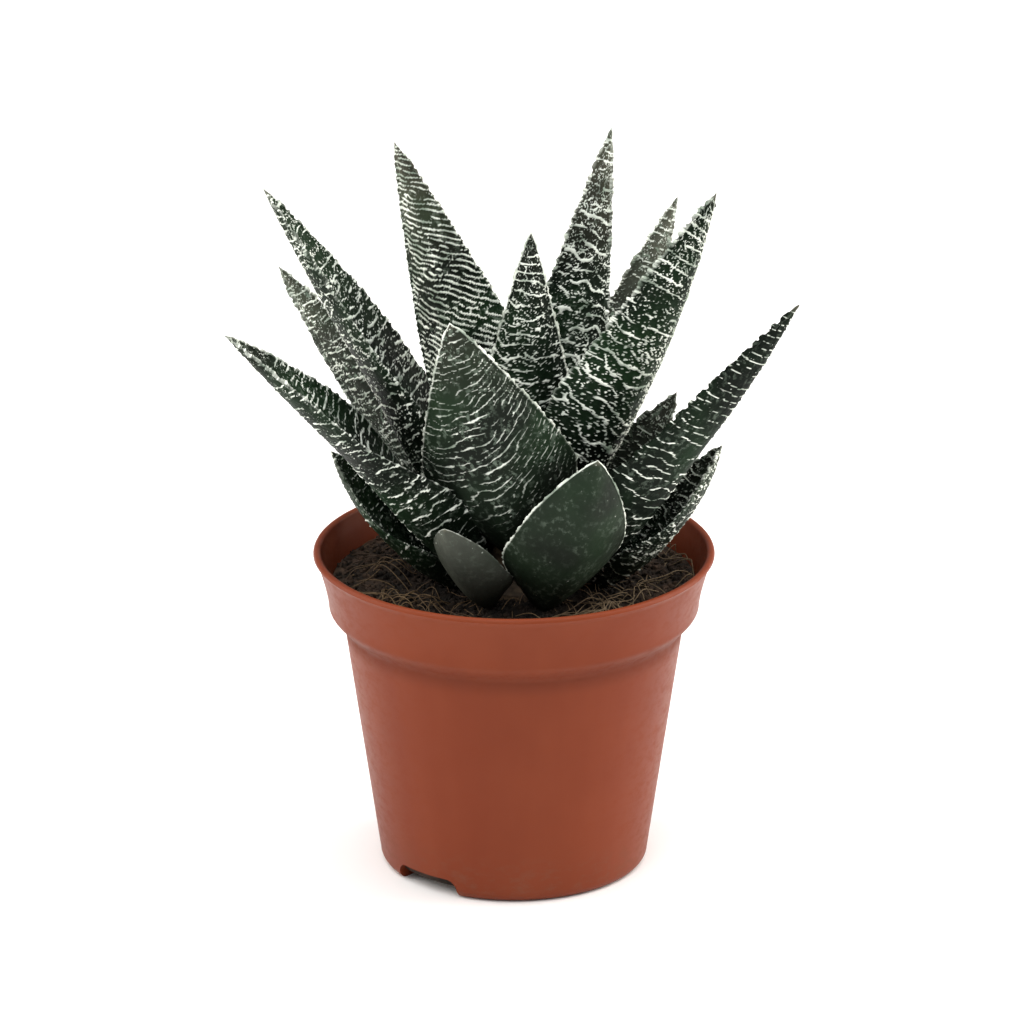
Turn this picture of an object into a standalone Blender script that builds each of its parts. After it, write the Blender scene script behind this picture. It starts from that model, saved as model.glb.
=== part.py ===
"""Potted haworthia: a young ridged rosette in a thin plastic grower's pot.

Metres, +Z up. The origin is the centre of the pot's flat base, on the ground.
-Y is the plant's front and +X is its right side. The plant stands a little
off the pot's axis, as it was potted, and leans nowhere.
"""

import math
from collections import namedtuple

import bmesh
import bpy
from mathutils import Matrix, Quaternion, Vector

MM = 0.001

# Pot
RIM_DIAMETER = 55.0 * MM  # outside of the lip
POT_HEIGHT = 45.0 * MM
COLLAR_HEIGHT = 7.8 * MM  # lip top to the collar's lower edge
COLLAR_DIAMETER = 50.8 * MM  # at the collar's lower edge
STEP_HEIGHT = 3.2 * MM  # the soft step below the collar
BODY_DIAMETER = 46.4 * MM  # just below the step
FOOT_DIAMETER = 36.8 * MM  # where the wall meets the foot's round
FOOT_ROUND = 1.5 * MM
LIP_ROUND = 0.55 * MM
WALL = 0.9 * MM
FLOOR = 1.1 * MM
COLLAR_FLARE = 1.4  # exponent of the trumpet-shaped flare
NOTCH_WIDTH = 10.5 * MM
NOTCH_HEIGHT = 2.6 * MM
NOTCH_DEPTH = 4.5 * MM  # inward from the foot's outside
NOTCH_AZIMUTHS = (-132.0, 48.0)  # degrees from +X
POT_SIDES = 48

# Soil
SOIL_DROP = 6.0 * MM  # rim to the soil at the plant
SOIL_BANK = 1.3 * MM  # how much higher the soil lies at the wall
CLEARANCE = 0.3 * MM  # between solids that touch

# Rootstock
STEM_FOOT = 6.0 * MM  # how far the stem reaches below the soil's top
STEM_SIDES = 12
ROOT_COUNT = 6
ROOT_DIAMETER = 3.2 * MM  # at the stem
ROOT_TIP_DIAMETER = 1.2 * MM
ROOT_SPREAD = 13.0 * MM  # from the plant's axis to a root's tip
ROOT_DEPTH = 26.0 * MM  # from the soil's top to a root's tip
ROOT_SIDES = 8
ROOT_RINGS = 7

# Rosette
PLANT_X = 1.5 * MM
PLANT_Y = -2.0 * MM
ROSETTE_SCALE = 1.0

# Where each tier of leaves starts: radius on the stem, height above the soil (mm)
TIERS = {
    "skirt": (8.4, 2.4),
    "outer": (6.9, 4.8),
    "middle": (5.4, 8.2),
    "inner": (3.9, 12.0),
    "heart": (1.5, 17.0),
}
STEM_BACKSET = 1.1  # mm from a tier's radius in to the stem's skin
STEM_TIP = 1.1  # mm, least radius of the stem

# One row for each leaf. azimuth: where it grows on the stem; tip: the azimuth of its tip;
# reach and rise: its tip's distance from the axis and height above the soil; width and thick:
# its largest section; grip: share of the width at the stem; bow: sag of its spine below the
# chord, as a share of the chord; taper: 1 is a straight-sided point, 3 a blunt one;
# roll: degrees it turns about its spine on the way out.
Leaf = namedtuple("Leaf", "name tier azimuth tip reach rise width thick grip bow taper roll")
LEAVES = [
    Leaf("leaf_left_skirt", "skirt", 184, 175, 26.6, 20.0, 12.6, 2.2, 0.24, 0.07, 2.4, -16),
    Leaf("leaf_rear_skirt_left", "skirt", 137, 142, 29.0, 11.0, 10.5, 2.0, 0.30, 0.04, 1.6, 0),
    Leaf("leaf_rear_skirt_right", "skirt", 98, 96, 28.0, 11.0, 10.5, 2.0, 0.30, 0.04, 1.6, 0),
    Leaf("leaf_right_short", "skirt", 49, 31, 24.3, 24.9, 9.8, 2.1, 0.30, 0.05, 1.9, 0),
    Leaf("leaf_right_skirt", "skirt", 352, 3, 26.9, 21.2, 13.4, 2.3, 0.19, 0.085, 2.5, 12),
    Leaf("leaf_front_blunt", "skirt", 286, 301, 19.0, 25.6, 16.4, 2.5, 0.32, 0.11, 2.2, 0),
    Leaf("leaf_front_small", "skirt", 239, 235, 18.9, 15.4, 10.4, 2.3, 0.26, 0.065, 3.0, 0),
    Leaf("leaf_left_low", "outer", 212, 194, 41.7, 41.2, 16.3, 3.5, 0.20, -0.025, 1.5, -22),
    Leaf("leaf_left_back", "outer", 158, 147, 40.4, 39.9, 10.4, 2.4, 0.19, 0.00, 1.9, -16),
    Leaf("leaf_rear_left", "outer", 123, 116, 32.0, 22.0, 9.4, 2.3, 0.20, 0.02, 1.3, 0),
    Leaf("leaf_rear_right", "outer", 88, 79, 34.0, 27.0, 9.4, 2.3, 0.20, 0.02, 1.3, 0),
    Leaf("leaf_right_low", "outer", 328, 345, 38.2, 45.6, 18.4, 3.2, 0.22, 0.015, 1.25, 0),
    Leaf("leaf_right_back", "outer", 55, 51.5, 33.8, 48.5, 12.4, 2.5, 0.21, -0.01, 1.3, 0),
    Leaf("leaf_front_wide", "middle", 269, 232, 16.5, 44.0, 21.0, 3.2, 0.27, 0.06, 1.35, 0),
    Leaf("leaf_left_tall", "middle", 187, 172, 35.8, 56.9, 19.8, 3.4, 0.21, -0.01, 1.35, -10),
    Leaf("leaf_rear_steep", "middle", 113, 115, 26.0, 33.0, 10.6, 2.4, 0.26, 0.02, 1.2, 0),
    Leaf("leaf_back_tall", "middle", 71, 60.5, 24.1, 60.4, 13.0, 2.4, 0.21, 0.00, 1.1, 0),
    Leaf("leaf_back_wide", "inner", 137, 142, 22.6, 60.6, 20.2, 2.6, 0.29, 0.00, 1.15, 0),
    Leaf("leaf_right_tall", "inner", 320, 15, 26.9, 55.6, 20.2, 2.8, 0.19, 0.028, 1.3, 0),
    Leaf("leaf_heart", "heart", 270, 68, 2.2, 52.0, 12.0, 3.0, 0.42, 0.0, 1.05, 0),
]
LEAF_STATIONS = (0.0, 0.07, 0.15, 0.24, 0.34, 0.44, 0.54, 0.64, 0.74, 0.83, 0.91, 0.965)
LEAF_WIDEST = 0.36  # station of the full width
LEAF_FULLNESS = 0.9  # below 1 fills out the outer half and rounds the tip
LEAF_ROLL_START = 0.24  # station where a leaf starts to roll
LEAF_ROLL_RUN = 0.4  # share of the leaf over which it does
LEAF_CURL = 0.5  # rise of the margins at the stem, as a share of the half width
LEAF_CHANNEL = 0.28  # the same beyond the curl
LEAF_CURL_END = 0.5  # station where the curl has opened
# Half a leaf's section, margin to keel: share of half width, share of thickness
UPPER_SECTION = ((1.0, 0.0), (0.52, -0.10), (0.0, -0.16))
LOWER_SECTION = ((0.0, -1.0), (0.36, -0.86), (0.74, -0.50))

# Material colours: red, green, blue, roughness
POT_PLASTIC = (0.36, 0.13, 0.075, 0.55)
PEAT = (0.035, 0.022, 0.014, 0.95)
ROOT_SKIN = (0.42, 0.33, 0.20, 0.8)
LEAF_SKIN = (0.030, 0.075, 0.045, 0.5)


def material(name, finish):
    """A plain Principled material of one colour and roughness."""
    made = bpy.data.materials.new(name)
    made.use_nodes = True
    shader = made.node_tree.nodes["Principled BSDF"]
    shader.inputs["Base Color"].default_value = (*finish[:3], 1.0)
    shader.inputs["Roughness"].default_value = finish[3]
    shader.inputs["Metallic"].default_value = 0.0
    return made


def add_object(name, bm, skin, smooth=35.0):
    """Turn a bmesh into a named object with its material, shaded smooth."""
    bmesh.ops.recalc_face_normals(bm, faces=bm.faces)
    if bm.calc_volume(signed=True) < 0:
        bmesh.ops.reverse_faces(bm, faces=bm.faces)
    mesh = bpy.data.meshes.new(name)
    bm.to_mesh(mesh)
    bm.free()
    mesh.shade_smooth()
    mesh.set_sharp_from_angle(angle=math.radians(smooth))
    made = bpy.data.objects.new(name, mesh)
    if skin:
        mesh.materials.append(skin)
    bpy.context.scene.collection.objects.link(made)
    return made


def combine(target, tool, operation):
    """Boolean a hidden tool object into the target."""
    tool.hide_render = True
    tool.display_type = "WIRE"
    step = target.modifiers.new(operation.title(), "BOOLEAN")
    step.operation = operation
    step.object = tool


def turned(outline, sides):
    """Turn a closed outline of (radius, height) points about the Z axis."""
    bm = bmesh.new()
    points = [bm.verts.new((radius, 0.0, height)) for radius, height in outline]
    edges = [bm.edges.new((a, b)) for a, b in zip(points, points[1:])]
    if min(outline[0][0], outline[-1][0]) > 0.0:
        edges.append(bm.edges.new((points[-1], points[0])))
    bmesh.ops.spin(
        bm, geom=points + edges, cent=(0, 0, 0), axis=(0, 0, 1), angle=math.tau, steps=sides
    )
    bmesh.ops.remove_doubles(bm, verts=bm.verts, dist=0.01 * MM)
    return bm


def offset_curve(curve, distance):
    """Move a (radius, height) curve that runs downwards in towards the axis."""
    moved = []
    for i, (radius, height) in enumerate(curve):
        before, after = curve[max(i - 1, 0)], curve[min(i + 1, len(curve) - 1)]
        along = Vector((after[0] - before[0], after[1] - before[1])).normalized()
        moved.append((radius + along.y * distance, height - along.x * distance))
    return moved


def between(curve, top, bottom):
    """The stretch of a falling curve between two heights, with its ends cut square."""

    def at(height):
        for (r1, z1), (r2, z2) in zip(curve, curve[1:]):
            if z1 >= height >= z2:
                return (r1 + (r2 - r1) * (z1 - height) / (z1 - z2), height)
        return (curve[-1][0], height)

    margin = 0.05 * MM
    inside = [p for p in curve if top - margin > p[1] > bottom + margin]
    return [at(top)] + inside + [at(bottom)]


def wall_curve():
    """The pot's outside from below the lip to the ground, top to bottom."""
    curve = []
    lip_radius = RIM_DIAMETER / 2 - LIP_ROUND * 0.2
    collar_radius = COLLAR_DIAMETER / 2
    body_radius = BODY_DIAMETER / 2
    foot_radius = FOOT_DIAMETER / 2
    flare_top = 2 * LIP_ROUND
    steps = 5
    for i in range(steps + 1):
        drop = flare_top + (COLLAR_HEIGHT - flare_top) * i / steps
        share = (1 - drop / COLLAR_HEIGHT) ** COLLAR_FLARE
        curve.append((collar_radius + (lip_radius - collar_radius) * share, POT_HEIGHT - drop))
    for i in range(1, steps + 1):
        share = i / steps
        ease = share * share * (3 - 2 * share)
        height = POT_HEIGHT - COLLAR_HEIGHT - STEP_HEIGHT * share
        curve.append((collar_radius + (body_radius - collar_radius) * ease, height))
    for i in range(4):
        turn = math.radians(90 * i / 3)
        radius = foot_radius - FOOT_ROUND * (1 - math.cos(turn))
        curve.append((radius, FOOT_ROUND * (1 - math.sin(turn))))
    return curve


def notch_cutter(index, azimuth):
    """A block with rounded upper ends that opens the foot's corner for drainage."""
    bm = bmesh.new()
    bmesh.ops.create_cube(bm, size=1.0)
    foot = FOOT_DIAMETER / 2
    length = NOTCH_DEPTH + FOOT_ROUND
    bmesh.ops.scale(bm, vec=(length, NOTCH_WIDTH, 2 * NOTCH_HEIGHT), verts=bm.verts)
    upper = []
    for edge in bm.edges:
        a, b = edge.verts[0].co, edge.verts[1].co
        if min(a.z, b.z) > 0 and abs(a.x - b.x) > 0.5 * length:
            upper.append(edge)
    rounding = 0.6 * NOTCH_HEIGHT
    bmesh.ops.bevel(bm, geom=upper, offset=rounding, segments=3, affect="EDGES", profile=0.5)
    place = Matrix.Rotation(math.radians(azimuth), 4, "Z")
    place @= Matrix.Translation((foot - NOTCH_DEPTH + length / 2, 0, 0))
    bm.transform(place)
    return add_object(f"notch_cutter_{index}", bm, None)


def make_pot():
    """The thin moulded pot, open above. Its outside curve is returned for the soil to follow."""
    outer = wall_curve()
    lip = []
    lip_middle = RIM_DIAMETER / 2 - LIP_ROUND
    for i in range(5):
        turn = math.radians(180 - 45 * i)
        lip.append((lip_middle + LIP_ROUND * math.cos(turn),
                    POT_HEIGHT - LIP_ROUND * (1 - math.sin(turn))))
    inner = between(offset_curve(outer, WALL), POT_HEIGHT - COLLAR_HEIGHT / 3, FLOOR)
    outline = [(0.0, FLOOR)] + inner[::-1] + lip + outer + [(0.0, 0.0)]
    pot = add_object("grower_pot", turned(outline, POT_SIDES), material("pot_plastic", POT_PLASTIC))
    for index, azimuth in enumerate(NOTCH_AZIMUTHS):
        combine(pot, notch_cutter(index, azimuth), "DIFFERENCE")
    return outer


def soil_top():
    return POT_HEIGHT - SOIL_DROP


def make_soil(outer):
    """The peat plug, dished towards the plant, with a socket for the rootstock."""
    top = soil_top() + SOIL_BANK
    inside = offset_curve(outer, WALL + CLEARANCE)
    side = between(inside, top, FLOOR + CLEARANCE)
    radius = side[0][0]
    dish = []
    steps = 4
    for i in range(steps):
        share = i / steps
        dish.append((radius * share, soil_top() + SOIL_BANK * share * share))
    outline = dish + side + [(0.0, FLOOR + CLEARANCE)]
    soil = add_object("peat_soil", turned(outline, POT_SIDES), material("peat", PEAT))
    for tool in rootstock_pieces("socket", CLEARANCE, None):
        combine(soil, tool, "DIFFERENCE")


def plant_axis():
    return Vector((PLANT_X, PLANT_Y, soil_top()))


def polar(radius, turn, height):
    return Vector((radius * math.cos(turn), radius * math.sin(turn), height))


def stem_piece(name, grow, skin):
    """The short stem: a cone of the tiers' own radii, rounded below."""
    steps = []
    for radius, height in TIERS.values():
        core = max(radius - STEM_BACKSET, STEM_TIP)
        steps.append(((core * ROSETTE_SCALE) * MM + grow, height * ROSETTE_SCALE * MM))
    foot_radius = steps[0][0]
    outline = [(0.0, -STEM_FOOT - grow), (foot_radius * 0.6, -STEM_FOOT * 0.9 - grow)]
    outline += [(foot_radius, -STEM_FOOT * 0.5)]
    outline += steps
    outline += [(0.0, steps[-1][1] + 1.0 * MM + grow)]
    bm = turned(outline, STEM_SIDES)
    bm.transform(Matrix.Translation(plant_axis()))
    return add_object(name, bm, skin)


def root_piece(name, index, grow, skin):
    """One fleshy root: a tapering tube that leaves the stem sideways and dives."""
    turn = math.tau * (index + 0.3) / ROOT_COUNT
    out = Vector((math.cos(turn), math.sin(turn), 0.0))
    side = Vector((-math.sin(turn), math.cos(turn), 0.0))
    reach = ROOT_SPREAD * (1.0 - 0.18 * (index % 2))
    depth = ROOT_DEPTH * (1.0 - 0.22 * (index % 3) / 2)
    start = plant_axis() + out * 1.5 * MM + Vector((0, 0, -STEM_FOOT * 0.55))
    bend = plant_axis() + out * reach + Vector((0, 0, -STEM_FOOT * 0.9)) + side * 2.0 * MM
    end = plant_axis() + out * reach + Vector((0, 0, -depth)) - side * 1.5 * MM
    bm = bmesh.new()
    rings = []
    for i in range(ROOT_RINGS):
        share = i / (ROOT_RINGS - 1)
        middle = start.lerp(bend, share).lerp(bend.lerp(end, share), share)
        along = (bend - start).lerp(end - bend, share).normalized()
        if i == ROOT_RINGS - 1:
            middle = middle + along * grow
        across = along.cross(side).normalized()
        radius = (ROOT_DIAMETER + (ROOT_TIP_DIAMETER - ROOT_DIAMETER) * share) / 2 + grow
        ring = []
        third = along.cross(across)
        for k in range(ROOT_SIDES):
            angle = math.tau * (k + 0.5) / ROOT_SIDES
            outward = across * math.cos(angle) + third * math.sin(angle)
            ring.append(bm.verts.new(middle + outward * radius))
        rings.append(ring)
    skin_rings(bm, rings)
    bm.faces.new(rings[-1])
    return add_object(name, bm, skin)


def rootstock_pieces(name, grow, skin):
    pieces = [stem_piece(f"{name}_stem", grow, skin)]
    pieces += [root_piece(f"{name}_root_{i}", i, grow, skin) for i in range(ROOT_COUNT)]
    return pieces


def make_rootstock():
    """Stem and roots, grown as one."""
    stem, *roots = rootstock_pieces("rootstock", 0.0, material("root_skin", ROOT_SKIN))
    stem.name = "rootstock"
    for root in roots:
        combine(stem, root, "UNION")


def skin_rings(bm, rings):
    """Join rings of equal count into a tube with a closed start."""
    for a, b in zip(rings, rings[1:]):
        for k in range(len(a)):
            n = (k + 1) % len(a)
            bm.faces.new((a[k], a[n], b[n], b[k]))
    bm.faces.new(rings[0][::-1])


def leaf_spread(share, grip, taper):
    """Share of a leaf's full width at a station along it."""
    if share < LEAF_WIDEST:
        rise = share / LEAF_WIDEST
        return grip + (1 - grip) * math.sin(rise * math.pi / 2)
    run = (share - LEAF_WIDEST) / (1 - LEAF_WIDEST)
    return (1 - run**taper) ** LEAF_FULLNESS


def leaf_depth(share, taper):
    """Share of a leaf's full thickness at a station along it."""
    swell = 0.8 + 0.2 * math.sin(math.pi * min(share / 0.5, 1.0))
    return swell * (1 - share ** (taper + 2.2))


def section_points(half_width, thick, share):
    """A leaf's section as (across, up) points: channelled above, keeled below."""
    right = [(u, v) for u, v in UPPER_SECTION[:-1]]
    left = [(-u, v) for u, v in reversed(right)]
    below_left = [(-u, v) for u, v in reversed(LOWER_SECTION[1:])]
    outline = right + [UPPER_SECTION[-1]] + left + below_left
    outline += [LOWER_SECTION[0]] + list(LOWER_SECTION[1:])
    opened = min(share / LEAF_CURL_END, 1.0)
    channel = (LEAF_CURL + (LEAF_CHANNEL - LEAF_CURL) * opened) * half_width
    return [(u * half_width, v * thick + channel * abs(u) ** 1.5) for u, v in outline]


def make_leaf(leaf, skin):
    """Loft a leaf's sections along its bowed spine to a point."""
    scale = ROSETTE_SCALE * MM
    radius, height = TIERS[leaf.tier]
    base_turn, tip_turn = math.radians(leaf.azimuth), math.radians(leaf.tip)
    axis = plant_axis()
    base = axis + polar(radius, base_turn, height) * scale
    tip = axis + polar(leaf.reach, tip_turn, leaf.rise) * scale
    chord = tip - base
    across = Vector((-math.sin(base_turn), math.cos(base_turn), 0.0))
    down = across.cross(chord).normalized()
    bend = base + chord * 0.45 + down * leaf.bow * chord.length * 2
    bm = bmesh.new()
    rings = []
    for share in LEAF_STATIONS:
        middle = base.lerp(bend, share).lerp(bend.lerp(tip, share), share)
        along = (bend - base).lerp(tip - bend, share).normalized()
        wide = (across - along * across.dot(along)).normalized()
        out = min(max((share - LEAF_ROLL_START) / LEAF_ROLL_RUN, 0.0), 1.0)
        turn = math.radians(leaf.roll) * out * out * (3 - 2 * out)
        wide.rotate(Quaternion(along, turn))
        up = along.cross(wide)
        half_width = leaf.width / 2 * scale * leaf_spread(share, leaf.grip, leaf.taper)
        thick = leaf.thick * scale * leaf_depth(share, leaf.taper)
        section = section_points(half_width, thick, share)
        rings.append([bm.verts.new(middle + wide * u + up * v) for u, v in section])
    skin_rings(bm, rings)
    point = bm.verts.new(tip)
    last = rings[-1]
    for k in range(len(last)):
        bm.faces.new((last[k], last[(k + 1) % len(last)], point))
    add_object(leaf.name, bm, skin, smooth=50.0)


def main():
    for old in list(bpy.data.objects):
        bpy.data.objects.remove(old, do_unlink=True)
    outer = make_pot()
    make_soil(outer)
    make_rootstock()
    leaf_skin = material("leaf_skin", LEAF_SKIN)
    for leaf in LEAVES:
        make_leaf(leaf, leaf_skin)


main()
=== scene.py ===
"""Looks of a potted haworthia: ridged leaves, crumbly peat and a moulded pot.

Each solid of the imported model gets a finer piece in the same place, or a better
material. Lengths in the settings are metres unless a name says millimetres.
"""

import math

import bmesh
import bpy
import numpy as np
from mathutils import Matrix, Vector


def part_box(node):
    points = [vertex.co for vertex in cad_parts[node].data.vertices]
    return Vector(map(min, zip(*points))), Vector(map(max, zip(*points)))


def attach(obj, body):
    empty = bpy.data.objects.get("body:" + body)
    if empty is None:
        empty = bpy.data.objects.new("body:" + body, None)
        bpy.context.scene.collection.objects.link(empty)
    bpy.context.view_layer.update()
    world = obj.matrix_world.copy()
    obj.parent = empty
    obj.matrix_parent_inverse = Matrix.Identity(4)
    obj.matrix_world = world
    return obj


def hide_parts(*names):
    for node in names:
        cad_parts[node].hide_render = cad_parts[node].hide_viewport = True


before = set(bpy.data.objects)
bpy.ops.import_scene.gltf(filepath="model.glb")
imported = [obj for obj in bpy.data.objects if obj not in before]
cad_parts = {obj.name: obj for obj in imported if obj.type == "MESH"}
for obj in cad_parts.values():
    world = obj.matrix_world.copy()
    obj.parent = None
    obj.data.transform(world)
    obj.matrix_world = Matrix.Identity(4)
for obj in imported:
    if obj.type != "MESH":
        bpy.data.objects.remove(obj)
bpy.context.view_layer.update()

bl_info = {
    "name": "Potted haworthia",
    "version": (1, 0, 0),
    "blender": (4, 5, 0),
    "location": "View3D > Sidebar > Plant",
    "description": "Ridged succulent leaves, peat and a moulded pot over a packed frame",
    "category": "Add Mesh",
}

MM = 0.001
PER_SQUARE_CM = 1e4
# The pot's radii as shares of its lip's
COLLAR, BODY, FOOT = 0.9236, 0.8436, 0.6691
POT_LOW, POT_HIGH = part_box("grower_pot")
SOIL_LOW, SOIL_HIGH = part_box("peat_soil")
STEM_LOW, STEM_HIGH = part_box("rootstock")
LEAF_NODES = sorted(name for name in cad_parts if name.startswith("leaf_"))


class Value:
    """A node socket that takes part in sums; each operator adds its Math node."""

    def __init__(self, graph, socket):
        self.graph = graph
        self.socket = socket

    def math(self, operation, *others):
        sockets = dict(enumerate((self, *others)))
        return self.graph.add("ShaderNodeMath", {"operation": operation}, sockets)

    def __add__(self, other):
        return self.math("ADD", other)

    def __sub__(self, other):
        return self.math("SUBTRACT", other)

    def __rsub__(self, other):
        return self.graph.add("ShaderNodeMath", {"operation": "SUBTRACT"}, {0: other, 1: self})

    def __mul__(self, other):
        return self.math("MULTIPLY", other)

    def __truediv__(self, other):
        return self.math("DIVIDE", other)

    __radd__ = __add__
    __rmul__ = __mul__

    def between(self, low, high, start=0.0, end=1.0):
        """A smooth step from start at low to end at high."""
        settings = {"interpolation_type": "SMOOTHSTEP"}
        sockets = {0: self, 1: low, 2: high, 3: start, 4: end}
        return self.graph.add("ShaderNodeMapRange", settings, sockets)


class Graph:
    """Fills a node tree: a node comes from its type, its settings and its sockets."""

    def __init__(self, tree):
        self.tree = tree

    def add(self, kind, settings=None, sockets=None, output=0):
        node = self.tree.nodes.new(kind)
        for name, value in (settings or {}).items():
            setattr(node, name, value)
        for key, value in (sockets or {}).items():
            if isinstance(value, Value):
                self.tree.links.new(value.socket, node.inputs[key])
            else:
                node.inputs[key].default_value = value
        return Value(self, node.outputs[output])

    def parts(self, vector):
        node = self.add("ShaderNodeSeparateXYZ", None, {0: vector}).socket.node
        return [Value(self, socket) for socket in node.outputs]

    def vector(self, x, y, z):
        return self.add("ShaderNodeCombineXYZ", None, {0: x, 1: y, 2: z})

    def noise(self, vector, scale, detail=2.0, roughness=0.5):
        sockets = {"Vector": vector, "Scale": scale, "Detail": detail, "Roughness": roughness}
        return self.add("ShaderNodeTexNoise", None, sockets)

    def scaled(self, vector, factor):
        sockets = {0: vector, "Scale": factor}
        return self.add("ShaderNodeVectorMath", {"operation": "SCALE"}, sockets)

    def random(self, low, high, seed):
        """A random vector for each instance."""
        kind = {"data_type": "FLOAT_VECTOR"}
        return self.add("FunctionNodeRandomValue", kind, {0: low, 1: high, "Seed": seed})

    def stored(self, name, kind="FLOAT"):
        """A named attribute of the mesh."""
        return self.add("GeometryNodeInputNamedAttribute", {"data_type": kind}, {"Name": name})

    def mix(self, factor, first, second):
        """Blend two colours."""
        return self.add("ShaderNodeMix", {"data_type": "RGBA"}, {0: factor, 6: first, 7: second}, 2)


def new_material(name, roughness, specular=0.5):
    """An empty Principled material; returns it with its graph and its shader node."""
    made = bpy.data.materials.new(name)
    made.use_nodes = True
    shader = made.node_tree.nodes["Principled BSDF"]
    shader.inputs["Roughness"].default_value = roughness
    shader.inputs["Specular IOR Level"].default_value = specular
    return made, Graph(made.node_tree), shader


def wire(graph, value, shader, socket):
    graph.tree.links.new(value.socket, shader.inputs[socket])


def bumped(graph, shader, height, strength, distance):
    """Feed a height into the shader's normal."""
    sockets = {"Height": height, "Strength": strength, "Distance": distance}
    wire(graph, graph.add("ShaderNodeBump", None, sockets), shader, "Normal")


def object_place(graph):
    return graph.add("ShaderNodeTexCoord", None, None, "Object")


def geometry_graph(name, fields):
    """A Geometry Nodes tree with named inputs, each given with its default."""
    tree = bpy.data.node_groups.new(name, "GeometryNodeTree")
    tree.interface.new_socket("Geometry", in_out="INPUT", socket_type="NodeSocketGeometry")
    tree.interface.new_socket("Material", in_out="INPUT", socket_type="NodeSocketMaterial")
    for label, value in fields.items():
        kind = "NodeSocketInt" if isinstance(value, int) else "NodeSocketFloat"
        socket = tree.interface.new_socket(label, in_out="INPUT", socket_type=kind)
        socket.default_value = value
    tree.interface.new_socket("Geometry", in_out="OUTPUT", socket_type="NodeSocketGeometry")
    graph = Graph(tree)
    entry = tree.nodes.new("NodeGroupInput")
    given = {socket.name: Value(graph, socket) for socket in entry.outputs if socket.name}
    return graph, given


def end_tree(graph, geometry, material):
    """Close a tree: realize, set the material and send it out."""
    whole = graph.add("GeometryNodeRealizeInstances", None, {"Geometry": geometry})
    painted = graph.add(
        "GeometryNodeSetMaterial", None, {"Geometry": whole, "Material": material}
    )
    leave = graph.tree.nodes.new("NodeGroupOutput")
    graph.tree.links.new(painted.socket, leave.inputs[0])
    return graph.tree


def grown(name, mesh, tree, values):
    """Run a Geometry Nodes tree on a mesh and keep the outcome as a plain mesh object."""
    carrier = bpy.data.objects.new(name, mesh)
    bpy.context.scene.collection.objects.link(carrier)
    step = carrier.modifiers.new(tree.name, "NODES")
    step.node_group = tree
    for item in tree.interface.items_tree:
        if item.in_out == "INPUT" and item.name in values:
            step[item.identifier] = values[item.name]
    graph = bpy.context.evaluated_depsgraph_get()
    outcome = bpy.data.meshes.new_from_object(
        carrier.evaluated_get(graph), preserve_all_data_layers=True, depsgraph=graph
    )
    carrier.modifiers.clear()
    carrier.data = outcome
    outcome.shade_smooth()
    return carrier


def face_out(bm):
    """Turn a closed mesh's faces outward; true if they had to turn."""
    inward = bm.calc_volume(signed=True) < 0
    if inward:
        bmesh.ops.reverse_faces(bm, faces=bm.faces)
    return inward


def mesh_object(name, bm, material):
    mesh = bpy.data.meshes.new(name)
    bm.to_mesh(mesh)
    bm.free()
    mesh.shade_smooth()
    mesh.materials.append(material)
    made = bpy.data.objects.new(name, mesh)
    bpy.context.scene.collection.objects.link(made)
    return made


def settle(piece, slot, *nodes):
    """Ride the root body and stand for the solids named; slot is not used."""
    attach(piece, "root")
    if nodes:
        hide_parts(*nodes)


def curve_through(points, steps):
    """A smooth curve through points, read at steps counted in points."""
    points = np.asarray(points, float)
    ahead = 2 * points[:1] - points[1:2]
    beyond = 2 * points[-1:] - points[-2:-1]
    padded = np.concatenate([ahead, points, beyond])
    steps = np.clip(np.asarray(steps, float), 0, len(points) - 1 - 1e-9)
    start = steps.astype(int)
    t = (steps - start).reshape(-1, *([1] * (points.ndim - 1)))
    p0, p1, p2, p3 = (padded[start + k] for k in range(4))
    return 0.5 * (
        2 * p1
        + (p2 - p0) * t
        + (2 * p0 - 5 * p1 + 4 * p2 - p3) * t**2
        + (3 * p1 - p0 - 3 * p2 + p3) * t**3
    )


# Leaves


def leaf_stations(node):
    """A leaf solid's stations from stem to tip: upper chains, lower chains and the tip."""
    bm = bmesh.new()
    bm.from_mesh(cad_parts[node].data)
    bmesh.ops.remove_doubles(bm, verts=bm.verts, dist=0.001 * MM)
    middle = sum((v.co for v in bm.verts), Vector()) / len(bm.verts)
    tip = max(bm.verts, key=lambda v: (v.co - middle).length)
    found, seen, layer = [], {tip}, [tip]
    while layer:
        layer = [e.other_vert(v) for v in layer for e in v.link_edges]
        layer = list(dict.fromkeys(v for v in layer if v not in seen))
        seen.update(layer)
        if layer:
            found.append(layer)
    loops = [np.array([v.co for v in in_order(ring)]) for ring in found[::-1]]
    if any(len(loop) != 10 for loop in loops):
        raise ValueError(f"{node} has a station without ten points")
    chords = [[np.linalg.norm(loop[k] - loop[(k + 4) % 10]) for k in range(10)] for loop in loops]
    widest = int(np.argmax([max(chord) for chord in chords]))
    first = np.roll(loops[widest], -int(np.argmax(chords[widest])), axis=0)
    heading = np.cross(np.array(tip.co) - first.mean(0), first[2] - first[7])
    if np.dot(first[4] - first[0], heading) < 0:
        first = first[(4 - np.arange(10)) % 10]
    loops[widest] = first
    for k in range(widest + 1, len(loops)):
        loops[k] = matched(loops[k], loops[k - 1])
    for k in range(widest - 1, -1, -1):
        loops[k] = matched(loops[k], loops[k + 1])
    uppers = [loop[:5] for loop in loops] + [np.tile(tip.co, (5, 1))]
    lowers = [np.roll(loop, -1, axis=0)[3:][::-1] for loop in loops] + [np.tile(tip.co, (7, 1))]
    bm.free()
    return np.array(uppers), np.array(lowers)


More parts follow.
